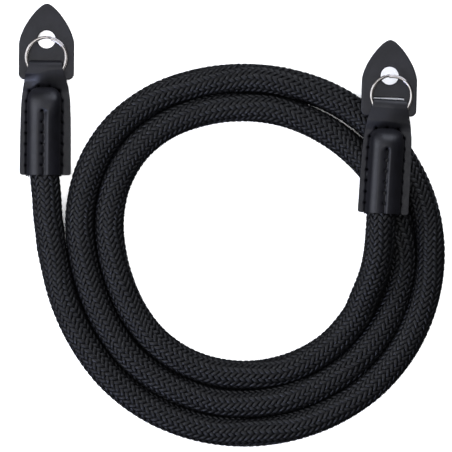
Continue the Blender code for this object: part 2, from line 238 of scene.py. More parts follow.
def through(rows, places):
    """Values at these places, counted in rows, on the smooth line through the rows."""
    rows = np.asarray(rows, float)
    number = np.clip(np.floor(places).astype(int), 0, len(rows) - 2)
    s = (places - number)[:, None]
    at = [rows[np.clip(number + i, 0, len(rows) - 1)] for i in (-1, 0, 1, 2)]
    return (
        at[1] * (2 * s**3 - 3 * s**2 + 1)
        + (at[2] - at[0]) / 2 * (s**3 - 2 * s**2 + s)
        + at[2] * (3 * s**2 - 2 * s**3)
        + (at[3] - at[1]) / 2 * (s**3 - s**2)
    )


def lengths_along(points):
    return np.concatenate([[0.0], np.cumsum(np.linalg.norm(np.diff(points, axis=0), axis=1))])


def in_sleeve(mouth, lean, distance):
    a = math.radians(lean)
    return (mouth[0] - distance * math.sin(a), mouth[1] + distance * math.cos(a))


def rope_line():
    """The rope's centre line from its left end to its right end, a point every half millimetre."""
    turns = []
    for turn in range(3):
        for _, outer, first, second in COIL_ROWS:
            inwards = sum(ROPE_DIAMETER * (1 + space - PRESSED) for space in (first, second)[:turn])
            turns.append((outer * COIL_RADIUS - inwards,))
    rays = np.arange(FIRST_RAY, LAST_RAY + 1, RAY_STEP)
    radii = through(turns, (rays - FIRST_RAY) / ROW_STEP)[:, 0]
    middle = np.array(COIL_MIDDLE)
    ray_ways = np.stack([np.cos(np.radians(rays)), np.sin(np.radians(rays))], axis=1)
    flat = [in_sleeve(LEFT_MOUTH, LEFT_LEAN, d) for d in (POCKET_LENGTH, POCKET_LENGTH / 2, 0.0)]
    left_mouth = len(flat) - 1
    flat += [middle + COIL_RADIUS * np.array(p) for p in LEAD_IN]
    coil_start = len(flat)
    flat += list(middle + ray_ways * radii[:, None])
    rise_start = len(flat) - 2
    flat += [middle + COIL_RADIUS * np.array(p) for p in LEAD_OUT]
    right_mouth = len(flat) - 1
    flat += [in_sleeve(RIGHT_MOUTH, RIGHT_LEAN, d) for d in (POCKET_LENGTH / 2, POCKET_LENGTH)]
    steps = 12
    dense = through(flat, np.arange((len(flat) - 1) * steps + 1) / steps)
    far = lengths_along(dense)
    down = ease((far - far[left_mouth * steps]) / (far[coil_start * steps] - far[left_mouth * steps]))
    up = ease((far - far[rise_start * steps]) / (far[right_mouth * steps] - far[rise_start * steps]))
    low = POCKET_AXIS - (POCKET_AXIS - ROPE_RADIUS - LIFTED) * down
    high = (RIGHT_MOUTH[2] + POCKET_AXIS - ROPE_RADIUS) * up
    line = np.column_stack([dense, low + high])
    whole = lengths_along(line)
    even = np.linspace(0.0, whole[-1], int(whole[-1] / LINE_STEP) + 1)
    return np.stack([np.interp(even, whole, line[:, i]) for i in range(3)], axis=1)


ROPE_LINE = rope_line()
ROPE_LENGTH = float(lengths_along(ROPE_LINE)[-1])

# Each yarn is a flat bundle of filaments. 16 wind one way and 16 the other, each passing over two and
# under two, which gives 16 columns of slanting stitches round the rope.
YARNS_EACH_WAY = 16
LAY_LENGTH = 0.0352
YARN_WIDTH = 0.00152
YARN_THICKNESS = 0.00088
YARN_MIDDLE = 0.00458
YARN_DEPTH = 0.00032
YARN_SECTIONS = 1730
YARN_SIDES = 7
CORE_RADIUS = 0.0038
# A yarn is this share wider on top than in its middle, and the rope this share as high as it is wide.
SPREAD_ON_TOP = 0.10
FLATTENED = 0.96
# The braid wanders round the rope by up to this many radians, this many times to the metre.
WANDER = 2.2
WANDER_SCALE = 22.0

# Nylon multifilament dyed black: each yarn is a soft satin with filaments running along it. They are
# 0.03 mm thick in the real rope and are drawn at 0.12 mm, so that they show.
nylon_yarn, tree, shader = finish_of("braided_nylon_yarn", IOR=1.53, Specular_IOR_Level=0.38)
FILAMENTS_ACROSS = 13
own_way = add_node(tree, "ShaderNodeUVMap", uv_map="UVMap").outputs["UV"]
run = add_node(tree, "ShaderNodeMapping", {"Vector": own_way, "Scale": (FILAMENTS_ACROSS, 0.55, 1.0)})
strands = add_node(tree, "ShaderNodeTexNoise", {"Vector": run, "Scale": 1.0, "Detail": 2.0})
place = add_node(tree, "ShaderNodeTexCoord").outputs["Object"]
patches = add_node(tree, "ShaderNodeTexNoise", {"Vector": place, "Scale": 260.0, "Detail": 2.0})
both = add_node(tree, "ShaderNodeMath", {0: strands, 1: patches}, operation="MULTIPLY")
shade = add_node(tree, "ShaderNodeValToRGB", {"Fac": both})
shade.color_ramp.elements[0].position = 0.12
shade.color_ramp.elements[0].color = linear("#020203")
shade.color_ramp.elements[1].position = 0.42
shade.color_ramp.elements[1].color = linear("#0b0b0d")
relief = add_node(tree, "ShaderNodeBump", {"Height": strands, "Strength": 0.9, "Distance": 0.00010})
wear = add_node(tree, "ShaderNodeTexNoise", {"Vector": place, "Scale": 800.0, "Detail": 1.0})
gloss = add_node(
    tree,
    "ShaderNodeMapRange",
    {"Value": wear, "From Min": 0.3, "From Max": 0.7, "To Min": 0.30, "To Max": 0.56},
)
tree.links.new(gloss.outputs["Result"], shader.inputs["Roughness"])
tree.links.new(shade.outputs["Color"], shader.inputs["Base Color"])
tree.links.new(relief.outputs["Normal"], shader.inputs["Normal"])

# The core: the same nylon, all but hidden under the braid; its colour is painted darker and its shine
# duller than the yarns', as painted shade between them.
core_nylon_painted_shade, tree, shader = finish_of("core_nylon_painted_shade", Roughness=0.9, Specular_IOR_Level=0.05)
place = add_node(tree, "ShaderNodeTexCoord").outputs["Object"]
grit = add_node(tree, "ShaderNodeTexNoise", {"Vector": place, "Scale": 2500.0, "Detail": 1.0})
shade = add_node(tree, "ShaderNodeValToRGB", {"Fac": grit})
shade.color_ramp.elements[0].color = linear("#020202")
shade.color_ramp.elements[1].color = linear("#050506")
tree.links.new(shade.outputs["Color"], shader.inputs["Base Color"])


def line_curve(name, points):
    """A curve object that is a plain line through these points."""
    data = bpy.data.curves.new(name, "CURVE")
    data.dimensions = "3D"
    data.twist_mode = "Z_UP"
    spline = data.splines.new("POLY")
    spline.points.add(len(points) - 1)
    spline.points.foreach_set("co", np.column_stack([points, np.ones(len(points))]).ravel())
    made = bpy.data.objects.new(name, data)
    bpy.context.scene.collection.objects.link(made)
    return made


def result_of(maker, name):
    """The plain mesh that this object and its modifiers make. The object itself is removed."""
    bpy.context.view_layer.update()
    graph = bpy.context.evaluated_depsgraph_get()
    seen = maker.evaluated_get(graph)
    made = bpy.data.meshes.new_from_object(seen, preserve_all_data_layers=True, depsgraph=graph)
    made.name = name
    bpy.data.objects.remove(maker)
    return made


def made_by(tree, maker, name, values):
    """Runs this node tree on an object with its named inputs set, and returns the plain mesh."""
    modifier = maker.modifiers.new(tree.name, "NODES")
    modifier.node_group = tree
    sockets = {s.name: s.identifier for s in tree.interface.items_tree if s.in_out == "INPUT"}
    for key, value in values.items():
        modifier[sockets[key]] = value
    return result_of(maker, name)


def new_tree(name, numbers):
    """An empty geometry tree with these named inputs, and its input and output nodes."""
    tree = bpy.data.node_groups.new(name, "GeometryNodeTree")
    tree.interface.new_socket("Geometry", in_out="INPUT", socket_type="NodeSocketGeometry")
    for key, value in numbers.items():
        kind = {int: "NodeSocketInt", float: "NodeSocketFloat"}.get(type(value), "NodeSocketMaterial")
        tree.interface.new_socket(key, in_out="INPUT", socket_type=kind)
    tree.interface.new_socket("Geometry", in_out="OUTPUT", socket_type="NodeSocketGeometry")
    return tree, tree.nodes.new("NodeGroupInput").outputs, tree.nodes.new("NodeGroupOutput")


def close_tree(tree, shapes, given, out):
    """The end of a tree: smooth faces, real ones in place of instances, and their material."""
    soft = add_node(tree, "GeometryNodeSetShadeSmooth", {"Geometry": shapes})
    solid = add_node(tree, "GeometryNodeRealizeInstances", {"Geometry": soft})
    made_of = {"Geometry": solid, "Material": given["Finish"]}
    finished = add_node(tree, "GeometryNodeSetMaterial", made_of)
    tree.links.new(finished.outputs["Geometry"], out.inputs["Geometry"])


braid_sizes = {
    "Rope Length": ROPE_LENGTH,
    "Yarn Width": YARN_WIDTH,
    "Yarn Thickness": YARN_THICKNESS,
    "Middle Radius": YARN_MIDDLE,
    "Over And Under": YARN_DEPTH,
    "Turns To The Metre": 1 / LAY_LENGTH,
    "Hand": 1.0,
    "First Place": 0.0,
    "Yarns": YARNS_EACH_WAY // 2,
    "Yarns Each Way": YARNS_EACH_WAY,
    "Sections": YARN_SECTIONS,
    "Sides": YARN_SIDES,
    "Slant": math.atan(2 * math.pi * YARN_MIDDLE / LAY_LENGTH),
    "Height To Width": FLATTENED,
    "Finish": nylon_yarn,
}
braid, given, out = new_tree("braided_yarns", braid_sizes)

# A straight yarn, one for each place, is then bent round the rope's line.
yarn = add_node(
    braid,
    "GeometryNodeMeshCylinder",
    {
        "Vertices": given["Sides"],
        "Side Segments": given["Sections"],
        "Radius": 1.0,
        "Depth": given["Rope Length"],
    },
    fill_type="NGON",
)
starts = add_node(braid, "GeometryNodeMeshLine", {"Count": given["Yarns"], "Offset": (0.0, 0.0, 0.0)})
copies = add_node(braid, "GeometryNodeInstanceOnPoints", {"Points": starts, "Instance": yarn})
number = add_node(braid, "GeometryNodeInputIndex").outputs["Index"]
counted = add_node(braid, "GeometryNodeCaptureAttribute", domain="INSTANCE")
counted.capture_items.new("FLOAT", "Number")
braid.links.new(copies.outputs["Instances"], counted.inputs["Geometry"])
braid.links.new(number, counted.inputs["Number"])
straight = add_node(braid, "GeometryNodeRealizeInstances", {"Geometry": counted})

spot = add_node(braid, "GeometryNodeInputPosition").outputs["Position"]
part = add_node(braid, "ShaderNodeSeparateXYZ", {"Vector": spot}).outputs
half_way = add_node(braid, "ShaderNodeMath", {0: given["Rope Length"], 1: 0.5}, operation="MULTIPLY")
along = add_node(braid, "ShaderNodeMath", {0: part["Z"], 1: half_way}, operation="ADD")
here = add_node(
    braid, "GeometryNodeSampleCurve", {"Curves": given["Geometry"], "Length": along}, mode="LENGTH"
).outputs

# The yarn's turn round the rope. The whole braid also wanders a little round the rope as it runs.
yarn_turn = add_node(
    braid,
    "ShaderNodeMath",
    {0: counted.outputs["Number"], 1: given["Yarns Each Way"]},
    operation="DIVIDE",
)
start_turn = add_node(braid, "ShaderNodeMath", {0: yarn_turn, 1: given["First Place"]}, operation="ADD")
handed = add_node(
    braid, "ShaderNodeMath", {0: given["Turns To The Metre"], 1: given["Hand"]}, operation="MULTIPLY"
)
turned = add_node(
    braid, "ShaderNodeMath", {0: along, 1: handed, 2: start_turn}, operation="MULTIPLY_ADD"
)
angle = add_node(braid, "ShaderNodeMath", {0: turned, 1: 2 * math.pi}, operation="MULTIPLY")
wander = add_node(
    braid,
    "ShaderNodeTexNoise",
    {"W": along, "Scale": WANDER_SCALE, "Detail": 1.0},
    noise_dimensions="1D",
)
drift = add_node(braid, "ShaderNodeMath", {0: wander, 1: WANDER, 2: angle}, operation="MULTIPLY_ADD")

# Over two and under two: the wave is flat on top, and the yarn dives quickly at its ends.
beat = add_node(
    braid,
    "ShaderNodeMath",
    {0: angle, 1: YARNS_EACH_WAY / 2, 2: -math.pi / 4},
    operation="MULTIPLY_ADD",
)
swing = add_node(braid, "ShaderNodeMath", {0: beat}, operation="COSINE")
wave = add_node(braid, "ShaderNodeMath", {0: swing, 1: given["Hand"]}, operation="MULTIPLY")
square = add_node(braid, "ShaderNodeMath", {0: wave, 1: wave}, operation="MULTIPLY")
swell = add_node(braid, "ShaderNodeMath", {0: square, 1: -0.5, 2: 1.5}, operation="MULTIPLY_ADD")
lift = add_node(braid, "ShaderNodeMath", {0: wave, 1: swell}, operation="MULTIPLY")
level = add_node(
    braid,
    "ShaderNodeMath",
    {0: lift, 1: given["Over And Under"], 2: given["Middle Radius"]},
    operation="MULTIPLY_ADD",
)
half_thick = add_node(
    braid, "ShaderNodeMath", {0: given["Yarn Thickness"], 1: 0.5}, operation="MULTIPLY"
)
outwards = add_node(
    braid, "ShaderNodeMath", {0: part["Y"], 1: half_thick, 2: level}, operation="MULTIPLY_ADD"
)
half_wide = add_node(braid, "ShaderNodeMath", {0: given["Yarn Width"], 1: 0.5}, operation="MULTIPLY")
spread = add_node(
    braid, "ShaderNodeMath", {0: lift, 1: SPREAD_ON_TOP, 2: 1.0}, operation="MULTIPLY_ADD"
)
half_there = add_node(braid, "ShaderNodeMath", {0: half_wide, 1: spread}, operation="MULTIPLY")
sideways = add_node(braid, "ShaderNodeMath", {0: part["X"], 1: half_there}, operation="MULTIPLY")

# The rope's own directions at this place: along it, to its side and up from it.
side_raw = add_node(
    braid, "ShaderNodeVectorMath", {0: (0.0, 0.0, 1.0), 1: here["Tangent"]}, operation="CROSS_PRODUCT"
)
side = add_node(braid, "ShaderNodeVectorMath", {0: side_raw}, operation="NORMALIZE")
up = add_node(braid, "ShaderNodeVectorMath", {0: here["Tangent"], 1: side}, operation="CROSS_PRODUCT")
cosine = add_node(braid, "ShaderNodeMath", {0: drift}, operation="COSINE")
sine = add_node(braid, "ShaderNodeMath", {0: drift}, operation="SINE")
side_part = add_node(braid, "ShaderNodeVectorMath", {0: side, "Scale": cosine}, operation="SCALE")
flatter = add_node(
    braid, "ShaderNodeMath", {0: sine, 1: given["Height To Width"]}, operation="MULTIPLY"
)
up_part = add_node(braid, "ShaderNodeVectorMath", {0: up, "Scale": flatter}, operation="SCALE")
outward = add_node(braid, "ShaderNodeVectorMath", {0: side_part, 1: up_part}, operation="ADD")
around = add_node(
    braid, "ShaderNodeVectorMath", {0: outward, 1: here["Tangent"]}, operation="CROSS_PRODUCT"
)
slant_cos = add_node(braid, "ShaderNodeMath", {0: given["Slant"]}, operation="COSINE")
slant_sin = add_node(braid, "ShaderNodeMath", {0: given["Slant"]}, operation="SINE")
lean = add_node(braid, "ShaderNodeMath", {0: slant_sin, 1: given["Hand"]}, operation="MULTIPLY")
around_part = add_node(
    braid, "ShaderNodeVectorMath", {0: around, "Scale": slant_cos}, operation="SCALE"
)
along_part = add_node(
    braid, "ShaderNodeVectorMath", {0: here["Tangent"], "Scale": lean}, operation="SCALE"
)
across = add_node(braid, "ShaderNodeVectorMath", {0: around_part, 1: along_part}, operation="ADD")
out_move = add_node(braid, "ShaderNodeVectorMath", {0: outward, "Scale": outwards}, operation="SCALE")
side_move = add_node(braid, "ShaderNodeVectorMath", {0: across, "Scale": sideways}, operation="SCALE")
moves = add_node(braid, "ShaderNodeVectorMath", {0: out_move, 1: side_move}, operation="ADD")
bent_spot = add_node(braid, "ShaderNodeVectorMath", {0: here["Position"], 1: moves}, operation="ADD")

# The pattern's map: across the yarn from 0 to 1, and along it in yarn widths.
share_across = add_node(
    braid, "ShaderNodeMath", {0: part["X"], 1: 0.5, 2: 0.5}, operation="MULTIPLY_ADD"
)
widths_along = add_node(braid, "ShaderNodeMath", {0: along, 1: given["Yarn Width"]}, operation="DIVIDE")
map_spot = add_node(braid, "ShaderNodeCombineXYZ", {"X": share_across, "Y": widths_along})
mapped = add_node(
    braid,
    "GeometryNodeStoreNamedAttribute",
    {"Geometry": straight, "Name": "UVMap", "Value": map_spot},
    data_type="FLOAT2",
    domain="CORNER",
)
bent = add_node(braid, "GeometryNodeSetPosition", {"Geometry": mapped, "Position": bent_spot})
close_tree(braid, bent, given, out)

yarn_pieces = []
for way, hand in (("right", 1.0), ("left", -1.0)):
    for half_number in (0, 1):
        name = f"{way}_hand_yarns_{half_number + 1}"
        values = {**braid_sizes, "Hand": hand, "First Place": half_number / 2}
        mesh = made_by(braid, line_curve(name + "_line", ROPE_LINE), name, values)
        yarn_pieces.append(placed(name, mesh))

core_line = line_curve("rope_core_line", ROPE_LINE[::3])
core_line.data.bevel_depth = CORE_RADIUS
core_line.data.bevel_resolution = 3
core_line.data.use_fill_caps = True
core = placed("rope_core", result_of(core_line, "rope_core"), core_nylon_painted_shade)
for piece in (core, *yarn_pieces):
    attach(piece, "root")
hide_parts("rope")


# The leather sleeve at each end: one strip of 1 mm leather that starts at the mouth under the rope's
# end, runs to the ring, folds over it and comes back over the rope as the front leaf. The leaves are
# sewn together at both sides and round the rope's end. Sizes here are in millimetres from the mouth.
LEATHER = 1.0
POCKET = 22.3
DOMES = {"left": 8.9, "right": 7.8}
BULGE_HALF = 5.8
DOME_TOP = 12.6
FLANGE_TOP = 2.03
FOLD_START = 37.6
FOLD_HEIGHT = 5.4
FOLD_REACH = 2.9
CORNER = 0.9
STITCH = 3.85
SEAM_SIDE = 6.12
SEAM_MIDDLE = -0.55
SEAM_START = -0.4
GROOVE_END = 23.8
GROOVE_FADE = 2.2
HOLE_REACH = 0.52
HOLE_DEPTH = 0.70
PULL_REACH = 0.40
PULL_DEPTH = 0.36
CELL = 0.25

# The strip's half width on its way from the mouth to the fold.
HALF_WIDTHS = (
    (0.0, 9.10),
    (12.0, 9.05),
    (20.0, 8.93),
    (26.5, 8.68),
    (31.0, 8.10),
    (33.4, 7.70),
    (35.5, 7.22),
    (37.6, 6.60),
    (39.0, 6.30),
    (40.5, 6.05),
)
# The right edge is cut in this much, at the mouth and at the fold.
TRIMS = {"left": (0.0, 0.55), "right": (0.35, 0.60)}
# The leaf's rise to the fold, at its left and at its right: where it starts, its length, the share of
# it that is taken at once past the seam, and how far the side sags. Then where that share is taken.
RISES = {
    "left": ((31.0, 5.0, 0.45, 1.7), (28.5, 9.0, 0.05, 0.5)),
    "right": ((30.0, 9.0, 0.45, 0.6), (30.0, 9.0, 0.45, 1.2)),
}
AT_ONCE = (29.2, 3.6)
# The bulge over the rope: its middle, its highest line past the groove and beside it (both from that
# middle), the share of its height that its left and right walls take, and where the groove's pull ends.
# Past the groove the right wall takes the last share.
BULGES = {"left": (-0.4, 1.0, -0.6, 0.60, 0.40, 27.3), "right": (-0.5, -1.3, -1.3, 0.66, 0.40, 40.0)}
WALL_PAST_GROOVE = 0.58
# The groove: its holes, its deepest line, its reach to the left and to the right of that, its depth.
GROOVES = {"left": (-0.95, -0.08, 2.7, 1.30, 1.30), "right": (-0.85, -0.50, 3.1, 0.95, 1.20)}

# Black calf leather, dyed and finished with a thin pigment coat: nearly even, satin, with a fine pebble
# of 0.5 mm, slightly bluish in the light. The cut edges are inked and a little smoother.
black_calf, tree, shader = finish_of(
    "black_finished_calf_leather", IOR=1.5, Coat_Weight=0.08, Coat_Roughness=0.35
)
place = add_node(tree, "ShaderNodeTexCoord").outputs["Object"]
pebble = add_node(
    tree,
    "ShaderNodeTexVoronoi",
    {"Vector": place, "Scale": 2000.0, "Randomness": 0.9},
    feature="SMOOTH_F1",
)
creases = add_node(
    tree, "ShaderNodeTexNoise", {"Vector": place, "Scale": 900.0, "Detail": 4.0, "Roughness": 0.6}
)
clouds = add_node(tree, "ShaderNodeTexNoise", {"Vector": place, "Scale": 160.0, "Detail": 3.0})
grain = add_node(tree, "ShaderNodeMath", {0: pebble, 1: creases, 2: creases}, operation="MULTIPLY_ADD")
relief = add_node(tree, "ShaderNodeBump", {"Height": grain, "Strength": 0.35, "Distance": 0.00010})
shade = add_node(tree, "ShaderNodeValToRGB", {"Fac": clouds})
shade.color_ramp.elements[0].position = 0.3
shade.color_ramp.elements[0].color = linear("#131317")
shade.color_ramp.elements[1].position = 0.75
shade.color_ramp.elements[1].color = linear("#1f1f25")
gloss = add_node(
    tree,
    "ShaderNodeMapRange",
    {"Value": creases, "From Min": 0.3, "From Max": 0.7, "To Min": 0.38, "To Max": 0.52},
)
# In the punched holes the colour is painted near black and the shine is taken down: painted shade in
# the holes, on top of the pits that the shape sinks there.
punched = add_node(tree, "ShaderNodeAttribute", attribute_name="punched").outputs["Fac"]
hole_shade = add_node(tree, "ShaderNodeMapRange", {"Value": punched, "From Min": 0.25, "From Max": 0.6})
blacks = {"Factor": hole_shade, 6: shade, 7: linear("#020203")}
leather_colour_with_hole_shade = add_node(tree, "ShaderNodeMix", blacks, data_type="RGBA")
shine = add_node(
    tree,
    "ShaderNodeMapRange",
    {"Value": punched, "From Min": 0.25, "From Max": 0.6, "To Min": 0.5, "To Max": 0.04},
)
tree.links.new(leather_colour_with_hole_shade.outputs[2], shader.inputs["Base Color"])
tree.links.new(shine.outputs["Result"], shader.inputs["Specular IOR Level"])
tree.links.new(gloss.outputs["Result"], shader.inputs["Roughness"])
tree.links.new(relief.outputs["Normal"], shader.inputs["Normal"])

# The cut edge: the fibres are sealed with black ink, so it is darker and rubbed in places.
inked_edge, tree, shader = finish_of("inked_leather_edge", Roughness=0.5, IOR=1.5)
place = add_node(tree, "ShaderNodeTexCoord").outputs["Object"]
fibres = add_node(tree, "ShaderNodeTexNoise", {"Vector": place, "Scale": 2600.0, "Detail": 3.0})
shade = add_node(tree, "ShaderNodeValToRGB", {"Fac": fibres})
shade.color_ramp.elements[0].position = 0.35
shade.color_ramp.elements[0].color = linear("#0b0b0d")
shade.color_ramp.elements[1].position = 0.8
shade.color_ramp.elements[1].color = linear("#24232a")
relief = add_node(tree, "ShaderNodeBump", {"Height": fibres, "Strength": 0.4, "Distance": 0.00008})
tree.links.new(shade.outputs["Color"], shader.inputs["Base Color"])
tree.links.new(relief.outputs["Normal"], shader.inputs["Normal"])


def half_width(y):
    places, widths = zip(*HALF_WIDTHS)
    rounded = CORNER - np.sqrt(np.maximum(CORNER**2 - np.maximum(CORNER - y, 0.0) ** 2, 0.0))
    return np.interp(y, places, widths) - rounded


def edges(side, y):
    trim = np.interp(y, (31.0, 35.5), TRIMS[side])
    return -half_width(y), half_width(y) - trim


def seam_holes(side):
    """The holes of the seam round the rope's end: up the left side, over the dome, down the right."""
    turn = np.linspace(0.0, math.pi, 61)
    x = SEAM_MIDDLE - SEAM_SIDE * np.sign(np.cos(turn)) * np.sqrt(np.abs(np.cos(turn)))
    y = POCKET + (DOMES[side] + 0.25) * np.sqrt(np.sin(turn))
    path = np.column_stack([x, y])
    path = np.vstack([[(x[0], SEAM_START)], path, [(x[-1], SEAM_START)]])
    far = lengths_along(path)
    count = round(far[-1] / STITCH)
    at = np.linspace(0.0, far[-1], count + 1)
    return np.column_stack([np.interp(at, far, path[:, i]) for i in (0, 1)])


def groove_holes(side):
    y = SEAM_START + STITCH * np.arange(7)
    return np.column_stack([np.full(len(y), GROOVES[side][0]), y])


def near_holes(holes, x, y):
    """1 in the middle of each punched hole and 0 away from them."""
    near = np.zeros(np.shape(x))
    for hole_x, hole_y in holes:
        near = np.maximum(near, np.exp(-((np.hypot(x - hole_x, y - hole_y) / HOLE_REACH) ** 2)))
    return near


def front_height(side, x, y):
    """The height of the front leaf's face over the point x, y: the bulge over the rope, its dome, the
    flanges, the rise to the fold, the sewn groove and the pull of the stitches. And 1 in each hole. A
    power above 2 makes a curve squarer than a circle."""
    beyond = np.clip((y - POCKET) / DOMES[side], 0.0, 1.0)
    crown = FLANGE_TOP + (DOME_TOP - FLANGE_TOP) * (1 - beyond**3.2) ** 0.5
    # Past the groove the bulge is broad and flat, highest right of its middle; beside the groove it is
    # highest at its left, and falls evenly to the right.
    middle, past, beside, left_wall, right_wall, pull_end = BULGES[side]
    drawn = ease((pull_end - y) / 9.0)
    shrink = (1 - beyond**3.6) ** 0.30
    top_x = middle + (past + (beside - past) * drawn) * shrink
    reach = BULGE_HALF * shrink + np.where(x < top_x, 1, -1) * (top_x - middle) + 0.01
    right_share = WALL_PAST_GROOVE + (right_wall - WALL_PAST_GROOVE) * drawn
    wall_share = np.where(x < top_x, left_wall, right_share)
    spring = FLANGE_TOP + wall_share * (crown - FLANGE_TOP)
    from_top = np.abs(x - top_x)
    inside = np.clip(from_top / reach, 0.0, 1.0)
    power = 2.0 + 0.7 * (1 - drawn) * (x > top_x)
    bulge = spring - FLANGE_TOP + (crown - spring) * (1 - inside**power) ** (1 / power)
    wall = 0.22 + 0.14 * np.minimum(1.0, (spring - FLANGE_TOP) / 4)
    bulge = bulge * (1 - ease((from_top - reach) / wall))
    to_right = ease((x + 3.5) / 6.0)
    start, length, at_once, sag = (a + (b - a) * to_right for a, b in zip(*RISES[side]))
    slope = np.clip((y - start) / length, 0.0, 1.0)
    early = ease((y - AT_ONCE[0]) / AT_ONCE[1])
    rise = at_once * early + (1 - at_once) * (ease(slope) + slope) / 2
    loop = (FOLD_HEIGHT - FLANGE_TOP) * rise * (1 - 0.06 * (x / 6.5) ** 2)
    loop = loop - sag * (np.sqrt((x / 6.5) ** 2 + 0.08) - 0.283) * 4 * slope * (1 - slope)
    height = FLANGE_TOP + bulge + loop
    # The groove that is sewn down along the middle: a long slope, then a short one back up.
    _, deepest, left_reach, right_reach, depth = GROOVES[side]
    away = (x - deepest) / np.where(x < deepest, left_reach, right_reach)
    sewn = ease((GROOVE_END - y) / GROOVE_FADE)
    height = height - sewn * depth * np.maximum(1 - np.abs(away), 0.0) ** 1.15
    # The thread pulls the leather down along each seam, most of all at the holes.
    seam = seam_holes(side)
    gap = np.full(np.shape(x), 9.0)
    for a, b in zip(seam[:-1], seam[1:]):
        way = b - a
        share = np.clip(((x - a[0]) * way[0] + (y - a[1]) * way[1]) / (way @ way), 0.0, 1.0)
        gap = np.minimum(gap, np.hypot(x - a[0] - share * way[0], y - a[1] - share * way[1]))
    at_foot = 1 - ease((bulge - 0.2) / 1.0)
    # The holes' mark, 1 in each hole: it sinks the pits here, and the leather's material paints the
    # holes dark from it as painted shade.
    punched = np.maximum(near_holes(seam, x, y) * at_foot, near_holes(groove_holes(side), x, y))
    pulled = at_foot * PULL_DEPTH * np.exp(-((gap / PULL_REACH) ** 2))
    return height - pulled - HOLE_DEPTH * punched, punched


def strip_mesh(side, place):
    """The sleeve's leather strip as its outer face alone, from the mouth over the fold and back."""
    across = np.linspace(0.0, 1.0, 75)
    rows = []
    near = []
    # The front leaf, from the mouth to the fold.
    for y in np.concatenate([np.arange(0.0, 1.0, 0.125), np.arange(1.0, FOLD_START, CELL)]):
        left, right = edges(side, y)
        x = left + across * (right - left)
        height, punched = front_height(side, x, np.full_like(x, y))
        rows.append(np.column_stack([x, np.full_like(x, y), height]))
        near.append(punched)
    # The fold, a little squarer than a half circle.
    last = rows[-1][:, 2]
    for turn in np.linspace(90, -90, 25)[1:]:
        a = math.radians(turn)
        y = FOLD_START + FOLD_REACH * abs(math.cos(a)) ** 0.8
        level = (1 + math.copysign(abs(math.sin(a)) ** 0.8, a)) / 2
        left, right = edges(side, y)
        x = left + across * (right - left)
        rows.append(np.column_stack([x, np.full_like(x, y), last * level]))
    # The back leaf, flat and plain.
    for y in np.concatenate([np.linspace(36.0, 1.5, 16), np.arange(1.0, -0.01, -0.125)]):
        left, right = edges(side, y)
        x = left + across * (right - left)
        rows.append(np.column_stack([x, np.full_like(x, y), np.zeros_like(x)]))
    points = np.array(rows) * 0.001
    wide = len(across)
    mesh = bpy.data.meshes.new(side + "_sleeve_leather")
    faces = []
    for j in range(len(rows) - 1):
        for i in range(wide - 1):
            k = j * wide + i
            faces.append((k, k + 1, k + wide + 1, k + wide))
    mesh.from_pydata([place @ Vector(p) for p in points.reshape(-1, 3)], [], faces)
    mesh.update()
    # Each hole's mark, from which the leather's material paints the holes dark as painted shade.
    holes = mesh.attributes.new("punched", "FLOAT", "POINT")
    for number, value in enumerate(np.concatenate(near)):
        holes.data[number].value = value
    return mesh


def sleeve_place(mouth, lean, roll):
    turned = Matrix.Rotation(math.radians(lean), 4, "Z") @ Matrix.Rotation(math.radians(roll), 4, "Y")
    return Matrix.Translation(mouth) @ turned


# The right end lies on two turns of rope and so is rolled a little to its right.
PLACES = {
    "left": sleeve_place(LEFT_MOUTH, LEFT_LEAN, 0.0),
    "right": sleeve_place(RIGHT_MOUTH, RIGHT_LEAN, 3.0),
}
for side, place in PLACES.items():
    sheet = placed(side + "_sheet", strip_mesh(side, place), black_calf, inked_edge)
    wall = sheet.modifiers.new("leather", "SOLIDIFY")
    wall.thickness = LEATHER * 0.001
    wall.offset = -1.0
    wall.material_offset_rim = 1
    edge = sheet.modifiers.new("worn_edge", "BEVEL")
    edge.width = 0.00016
    edge.segments = 2
    edge.limit_method = "ANGLE"
    edge.angle_limit = math.radians(60)
    mesh = result_of(sheet, side + "_sleeve_leather")
    mesh.shade_smooth()
    mesh.set_sharp_from_angle(angle=math.radians(60))
    sleeve = placed(side + "_sleeve_leather", mesh)
    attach(sleeve, "root")
    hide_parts(side + "_sleeve")


# The stitching: black waxed polyester thread, 0.5 mm thick, sunk into the leather between its holes.
# The last stitch of each side seam wraps round the edge at the mouth.
THREAD_RADIUS = 0.00027
STITCH_RISE = 0.00012
STITCH_ENDS = 0.00075
# A seam's line is this far over the bottom of its holes, in millimetres, and drops at the mouth.
OVER_HOLES = 0.45
MOUTH_DROP = 0.0006

# Waxed polyester thread: two plies twisted together, black, with a dull wax shine.
waxed_thread, tree, shader = finish_of(
    "waxed_polyester_thread", Roughness=0.6, IOR=1.5, Specular_IOR_Level=0.25
)
own_way = add_node(tree, "ShaderNodeUVMap", uv_map="UVMap").outputs["UV"]
run = add_node(tree, "ShaderNodeMapping", {"Vector": own_way, "Scale": (1.0, 2.2, 1.0)})
plies = add_node(
    tree,
    "ShaderNodeTexWave",
    {"Vector": run, "Scale": 1.0, "Distortion": 0.4},
    bands_direction="DIAGONAL",
)
relief = add_node(
    tree, "ShaderNodeBump", {"Height": plies.outputs["Fac"], "Strength": 0.7, "Distance": 0.00012}
)
shade = add_node(tree, "ShaderNodeValToRGB", {"Fac": plies.outputs["Fac"]})
shade.color_ramp.elements[0].color = linear("#040405")
shade.color_ramp.elements[1].color = linear("#0f0e11")
tree.links.new(shade.outputs["Color"], shader.inputs["Base Color"])
tree.links.new(relief.outputs["Normal"], shader.inputs["Normal"])

